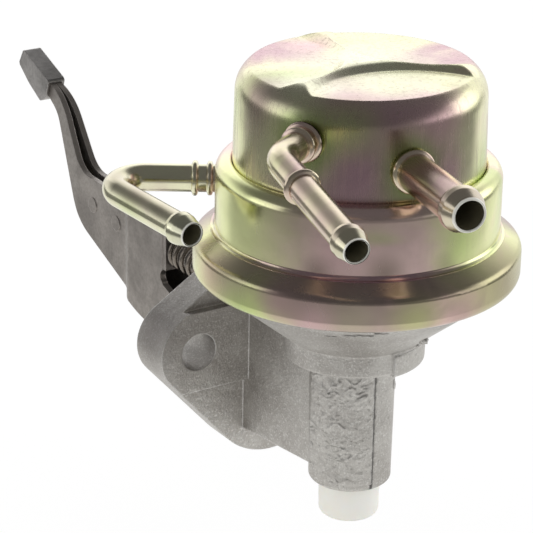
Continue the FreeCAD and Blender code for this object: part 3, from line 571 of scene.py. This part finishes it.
def torn_relief(point, turn):
    """Height of the torn casting skin on the stem, in mm: strong on the panel, weaker to the right of it.

    Each noise is taken at the point times a frequency per metre. The creases slant, and are deepest where
    the upper left and a scatter of patches say.
    """
    panel = abs(turn - PANEL_HEADING)
    on_panel = 1.0 - smooth(panel, PANEL_HALF - 5.0, PANEL_HALF - 2.5)
    right_side = (1.0 - smooth(turn, -62.0, -52.0)) * (turn > PANEL_HEADING)
    beside = smooth(panel, PANEL_HALF + 2.0, PANEL_HALF + 5.0) * right_side
    ends = smooth(point.z, SKIN_LOW, SKIN_LOW + 0.0012) * (1.0 - smooth(point.z, SKIN_HIGH - 0.0008, SKIN_HIGH))
    slant = Vector((point.x * 260.0 + point.z * 180.0, point.y * 260.0, point.z * 560.0 - point.x * 300.0))
    warp = noise.noise(point * 330.0)
    crease = 1.0 - abs(noise.noise(slant + Vector((warp, 0.0, warp))))
    fine = noise.noise(point * 1300.0)
    dents = noise.noise(point * 620.0 + Vector((7.0, 3.0, 1.0)))
    upper_left = smooth(point.z, -0.004, 0.004) * (1.0 - smooth(turn, -140.0, -112.0))
    scattered = smooth(noise.noise(point * 190.0 + Vector((2.0, 9.0, 4.0))), 0.0, 0.40)
    where = max(0.9 * upper_left, 0.14 + 0.80 * scattered)
    height = (0.13 + 0.045 * fine + 0.05 * dents + 0.27 * where * smooth(crease, 0.82, 1.0)
              - 0.10 * where * smooth(-dents, 0.20, 0.50))
    strength = (on_panel + 0.55 * beside) * ends
    return height * strength - 0.12 * (1.0 - min(1.0, strength * 1.6))


def stem_skin(finish):
    """The rough skin that the die left on the stem, laid on the casting by rays toward the pump's axis."""
    tree = node_tree("lower_body")
    columns, rows = 230, 170
    points = []
    for i in range(columns):
        turn = SKIN_START + SKIN_SWEEP * i / (columns - 1)
        out = Vector((math.cos(math.radians(turn)), math.sin(math.radians(turn)), 0.0))
        for j in range(rows):
            height = Vector((0.0, 0.0, SKIN_LOW + (SKIN_HIGH - SKIN_LOW) * j / (rows - 1)))
            start = PUMP_AXIS + out * STEM_REACH + height
            hit = tree.ray_cast(start, -out, 0.02)[0] or start - out * 0.003
            points.append(hit + out * torn_relief(hit, turn) / 1000.0)
    mesh_piece("stem_skin", points, grid_faces(columns, rows), finish, "housing")


def lump(tree, pixel, size, turn, seed):
    """A small irregular remnant of the casting, seated on the body where the photograph shows it; size in mm."""
    right, up, back, eye = camera_axes()
    ray = right * (pixel[0] - FRAME_PIXELS / 2) - up * (pixel[1] - FRAME_PIXELS / 2) - back * FOCAL_PIXELS
    hit, normal = tree.ray_cast(eye, ray.normalized())[:2]
    if hit is None:
        return [], []
    side = normal.cross(Vector((0.0, 0.0, 1.0))).normalized()
    over = normal.cross(side)
    side, over = side * math.cos(turn) + over * math.sin(turn), over * math.cos(turn) - side * math.sin(turn)
    points = []
    columns, rows = 33, 15
    for i in range(columns):
        a = 2 * math.pi * i / (columns - 1)
        for j in range(rows):
            b = math.pi * (j / (rows - 1) - 0.5)
            shape = Vector((math.cos(a) * math.cos(b), math.sin(a) * math.cos(b), math.sin(b)))
            ragged = 1.0 + 0.5 * noise.noise(shape * 2.3 + Vector((seed, 0.0, 0.0)))
            x, y, z = (shape[k] * size[k] * ragged / 1000.0 for k in range(3))
            points.append(hit + side * x + over * y + normal * z)
    return points, grid_faces(columns, rows)


# Nubs and flash of the casting: pixel of the photograph, half sizes in mm, turn
REMNANTS = [
    ((424.0, 340.0), (0.9, 1.1, 0.9), 0.3), ((419.0, 344.0), (1.3, 0.5, 0.4), -0.5),
    ((399.0, 378.0), (1.3, 0.7, 0.5), 0.1), ((394.0, 384.0), (0.5, 1.2, 0.3), 0.2),
    ((352.0, 336.0), (1.7, 0.25, 0.22), 0.05), ((366.0, 336.0), (1.9, 0.3, 0.28), -0.08),
    ((382.0, 334.0), (1.5, 0.25, 0.22), -0.15), ((331.0, 336.5), (1.2, 0.2, 0.16), 0.1),
    ((386.0, 492.0), (0.9, 0.5, 0.25), 0.4), ((312.0, 444.0), (0.5, 0.9, 0.25), 0.2),
]


def casting_remnants(finish):
    """Ejector nubs and broken flash along the casting's edges."""
    tree = node_tree("lower_body")
    points, faces = [], []
    for number, (pixel, size, turn) in enumerate(REMNANTS):
        more, sides = lump(tree, pixel, size, turn, number * 3.1)
        faces += [tuple(len(points) + k for k in side) for side in sides]
        points += more
    mesh_piece("casting_remnants", points, faces, finish, "housing")


def turned_piece(name, profile, finish, body, segments=240):
    """Surface of revolution round the pump's axis from (radius, height) in mm above the ring's foot."""
    points = [Vector(on_ring(r, 360.0 * i / segments, z)) for i in range(segments) for r, z in profile]
    rows = len(profile)
    faces = [(i * rows + j, (i + 1) % segments * rows + j,
              (i + 1) % segments * rows + j + 1, i * rows + j + 1)
             for i in range(segments) for j in range(rows - 1)]
    mesh_piece(name, points, faces, finish, body)


def groove_fillet(finish):
    """The shell's foot radius, seen as a bright line above the ring."""
    radius, inner, top = 0.95, 30.31, 11.15
    arc = [math.radians(90.0 * k / 8) for k in range(9)]
    profile = [(inner + radius * (1.0 - math.cos(a)), top - radius * math.sin(a)) for a in arc]
    behind = [(30.2, 11.2), (30.2, 10.0), (31.26, 10.0)]
    turned_piece("groove_fillet", profile[::-1] + behind + [profile[-1]], finish, "housing")


def coil(finish):
    """The arm's return spring, wound between its seats."""
    wire, mean = 0.0007, 0.0040
    turns, steps, sides = 16.0, 30, 10
    lowest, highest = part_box("return_spring")
    centre_x, centre_z = (lowest[0] + highest[0]) / 2, (lowest[2] + highest[2]) / 2
    length = highest[1] - lowest[1] - 2 * wire
    count = int(turns * steps) + 1
    centres = []
    for i in range(count):
        t = i / steps
        closed = min(t, 1.0) + max(0.0, t - (turns - 1.0))
        open_turns = min(max(t - 1.0, 0.0), turns - 2.0)
        rise = closed * 2 * wire + open_turns * (length - 4 * wire) / (turns - 2.0)
        angle = 2 * math.pi * t
        centres.append(Vector((centre_x + mean * math.cos(angle), lowest[1] + wire + rise,
                               centre_z + mean * math.sin(angle))))
    points = []
    for i, here in enumerate(centres):
        ahead = (centres[min(i + 1, count - 1)] - centres[max(i - 1, 0)]).normalized()
        out = Vector((here.x - centre_x, 0.0, here.z - centre_z)).normalized()
        across = ahead.cross(out).normalized()
        out = across.cross(ahead)
        for k in range(sides):
            angle = k * 2 * math.pi / sides
            points.append(here + (out * math.cos(angle) + across * math.sin(angle)) * wire)
    faces = [(i * sides + k, i * sides + (k + 1) % sides,
              (i + 1) * sides + (k + 1) % sides, (i + 1) * sides + k)
             for i in range(count - 1) for k in range(sides)]
    faces += [tuple(range(sides))[::-1], tuple((count - 1) * sides + k for k in range(sides))]
    piece = mesh_piece("return_spring_coil", points, faces, finish, None)
    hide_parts("return_spring")
    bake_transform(piece)


def copy_of(node, name):
    """The node's own mesh as a separate piece, in place of the node."""
    piece = bpy.data.objects.new(name, nodes[node].data.copy())
    bpy.context.scene.collection.objects.link(piece)
    return piece


def follower(node):
    """A copy of a spring's mesh in place of the node, which is hidden."""
    piece = copy_of(node, node + "_coil")
    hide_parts(node)
    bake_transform(piece)


# The number of pieces that the diaphragm is cut into
GORES = 12


def diaphragm_gores():
    """The diaphragm cut into gores, each reaching from the plates that carry its middle to its clamped rim."""
    half = math.pi / GORES
    gores = []
    for i in range(GORES):
        turn = 2 * half * i
        piece = copy_of("diaphragm", "diaphragm_gore_%02d" % (i + 1))
        shape = bmesh.new()
        shape.from_mesh(piece.data)
        for side in (-1.0, 1.0):
            edge = turn + side * half
            across = Vector((-math.sin(edge), math.cos(edge), 0.0)) * side
            bmesh.ops.bisect_plane(shape, geom=shape.verts[:] + shape.edges[:] + shape.faces[:],
                                   plane_co=PUMP_AXIS, plane_no=across, clear_outer=True)
        out = Vector((math.cos(turn), math.sin(turn), 0.0))
        away = [v for v in shape.verts if (v.co - PUMP_AXIS).dot(out) < 0.0]
        bmesh.ops.delete(shape, geom=away, context="VERTS")
        shape.to_mesh(piece.data)
        shape.free()
        gores.append((piece, out))
    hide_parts("diaphragm")
    for piece, out in gores:
        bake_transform(piece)


# Stage: pale floor, soft lamps, and a studio that is white around and dim on the viewer's side

TOWARD_VIEWER = (math.sin(CAMERA_AZIMUTH), -math.cos(CAMERA_AZIMUTH), 0.0)
FLOOR_SIZE = 6.0
FLOOR_CENTRE = (0.034, -0.022, 0.0)

# What the floor shows to the camera: its own light, and a grey that takes the soft shadow
FLOOR_GLOW = 0.90
FLOOR_GREY = (0.12, 0.12, 0.12)

# What the metal mirrors: floor near and far (and the distances between), walls and dim ceiling
FLOOR_NEAR, FLOOR_FAR = 0.95, 0.20
FADE_START, FADE_END = 0.19, 0.32
WALLS, CEILING = 1.02, 0.12

# Light of the studio on dull surfaces: a part that dims with the ceiling, and a part that is even
DIMMED_SHARE, EVEN_SHARE = 0.6, 0.70

DIM_HEIGHT = math.radians(62.0)
DIM_HEADING = math.radians(-134.0)
DIM_CENTRE = (math.cos(DIM_HEIGHT) * math.cos(DIM_HEADING), math.cos(DIM_HEIGHT) * math.sin(DIM_HEADING),
              math.sin(DIM_HEIGHT))
LAMP_AIM = Vector((0.0, -0.02, 0.02))
LAMPS = {  # place, width and height, watts
    "lamp_back": ((0.55, 0.85, 0.50), (1.4, 0.8), 1.2),
    "lamp_right": ((1.0, -0.30, 0.25), (0.6, 0.6), 1.0),
    "lamp_left": ((-1.0, 0.35, 0.25), (0.6, 0.6), 1.0),
}


def seen_rays(g):
    """Masks of the rays that come from the camera, and of those that a glossy surface sends out."""
    path = g.node("ShaderNodeLightPath")
    seen = g.calc("MAXIMUM", path.outputs["Is Camera Ray"], path.outputs["Is Transmission Ray"])
    return seen, path.outputs["Is Glossy Ray"]


def make_floor():
    """Pale paper, whose mirror image in the metal darkens with distance except behind the pump."""
    bpy.ops.mesh.primitive_plane_add(size=FLOOR_SIZE, location=(0.0, 0.0, FLOOR_Z))
    floor = bpy.context.object
    floor.name = "floor"
    made = bpy.data.materials.new("floor_paper")
    made.use_nodes = True
    g = Graph(made.node_tree)
    made.node_tree.nodes.remove(made.node_tree.nodes["Principled BSDF"])
    seen, glossy = seen_rays(g)
    place = g.vector("SUBTRACT", g.place(), FLOOR_CENTRE)
    reach = g.length(place)
    frontness = g.calc("DIVIDE", g.dot(place, TOWARD_VIEWER), g.calc("MAXIMUM", reach, 0.001))
    away = g.times(reach, g.step(frontness, -0.92, -0.25))
    fade = g.step(away, FADE_START, FADE_END, FLOOR_NEAR, FLOOR_FAR)
    paper = g.node("ShaderNodeBsdfDiffuse", {"Color": (0.86, 0.86, 0.85)}).outputs[0]
    white = g.node("ShaderNodeEmission", {"Color": (1.0, 1.0, 1.0), "Strength": FLOOR_GLOW}).outputs[0]
    shade = g.node("ShaderNodeBsdfDiffuse", {"Color": FLOOR_GREY}).outputs[0]
    shown = g.node("ShaderNodeAddShader", {0: white, 1: shade}).outputs[0]
    mirrored = g.node("ShaderNodeEmission", {"Color": (1.0, 1.0, 0.98), "Strength": fade}).outputs[0]
    base = g.node("ShaderNodeMixShader", {0: glossy, 1: paper, 2: mirrored}).outputs[0]
    output = made.node_tree.nodes["Material Output"]
    g.feed(output.inputs["Surface"], g.node("ShaderNodeMixShader", {0: seen, 1: base, 2: shown}).outputs[0])
    floor.data.materials.append(made)


def make_world():
    """White walls all round, and a dim ceiling that leans toward the photographer."""
    world = bpy.data.worlds.new("studio")
    bpy.context.scene.world = world
    world.use_nodes = True
    g = Graph(world.node_tree)
    seen, glossy = seen_rays(g)
    way = g.node("ShaderNodeTexCoord").outputs["Generated"]
    tent = g.step(g.dot(way, DIM_CENTRE), -0.06, 0.44, WALLS, CEILING)
    for_glossy = g.times(glossy, tent)
    for_diffuse = g.times(g.minus(1.0, glossy), g.plus(g.times(tent, DIMMED_SHARE), EVEN_SHARE))
    background = world.node_tree.nodes["Background"]
    background.inputs["Color"].default_value = (1.0, 1.0, 1.0, 1.0)
    g.feed(background.inputs["Strength"], g.calc("MAXIMUM", g.plus(for_glossy, for_diffuse), seen))


def make_light():
    """Soft rectangular lamps, all turned to the pump."""
    for name, (place, size, watts) in LAMPS.items():
        data = bpy.data.lights.new(name, "AREA")
        data.shape = "RECTANGLE"
        data.size, data.size_y = size
        data.energy = watts
        lamp = bpy.data.objects.new(name, data)
        lamp.location = place
        lamp.rotation_mode = "QUATERNION"
        lamp.rotation_quaternion = (LAMP_AIM - Vector(place)).to_track_quat("-Z", "Y")
        bpy.context.scene.collection.objects.link(lamp)


make_camera()
node_finishes, slot_finishes = finishes()
dress(node_finishes, slot_finishes)
stem_skin(node_finishes["lower_body"])
casting_remnants(node_finishes["lower_body"])
groove_fillet(chromate("groove_plating", (0.88, 0.90, 0.50), [], lobes=0.5, roughness=0.18))
coil(slot_finishes["spring_steel"])
follower("diaphragm_spring")
follower("inlet_valve_spring")
follower("outlet_valve_spring")
diaphragm_gores()
make_floor()
make_world()
make_light()
bpy.context.scene.view_settings.view_transform = "Standard"
